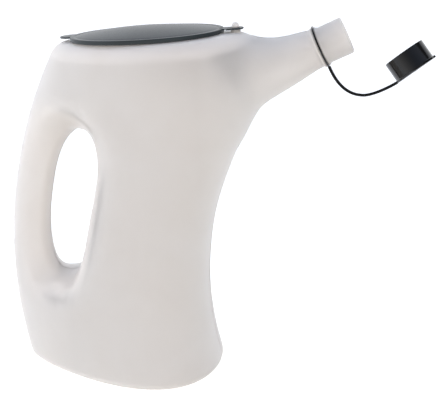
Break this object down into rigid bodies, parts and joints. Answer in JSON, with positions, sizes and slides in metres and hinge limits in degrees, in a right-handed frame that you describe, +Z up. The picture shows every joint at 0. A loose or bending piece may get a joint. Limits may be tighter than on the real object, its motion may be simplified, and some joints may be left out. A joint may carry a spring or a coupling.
{
  "type": "blow-moulded pouring jug",
  "caption": "Milky blow-moulded carboy jug with a through grip, a raised spout with a tethered push-on cap, and an oval snap lid over its fill opening",
  "frame": {"origin": "on the flat base, below the middle of the body's back half, in the plane of symmetry", "axes": "+Z up from the base, +X forward to the spout, +Y to the jug's left side"},
  "size_m": [0.3378, 0.1198, 0.295],
  "materials": {
    "milky_plastic": "satin, milky and slightly see-through",
    "lid_plastic": "satin, moulded",
    "cap_plastic": "semi-gloss, moulded"
  },
  "bodies": {
    "jug": {"jug_body": "milky_plastic", "lid_eye": "lid_plastic"},
    "lid": {"lid": "lid_plastic"},
    "tether": {"tether_ring": "cap_plastic"},
    "cap": {"spout_cap": "cap_plastic"}
  },
  "joints": [
    {"name": "lid_hinge", "type": "hinge", "parent": "jug", "child": "lid", "pos_m": [0.08503, 0, 0.286], "axis": [0, 1, 0], "range_deg": [0, 120]},
    {"name": "cap_swivel", "type": "hinge", "parent": "jug", "child": "tether", "pos_m": [0.1768, 0, 0.2825], "axis": [0.8988, 0, 0.4384], "continuous": true},
    {"name": "cap_swing", "type": "hinge", "parent": "tether", "child": "cap", "pos_m": [0.18745, -0.00906, 0.24027], "axis": [-0.0911, -0.9781, 0.1869], "range_deg": [0, 78.5], "stiffness_Nm_per_rad": 0.05}
  ]
}
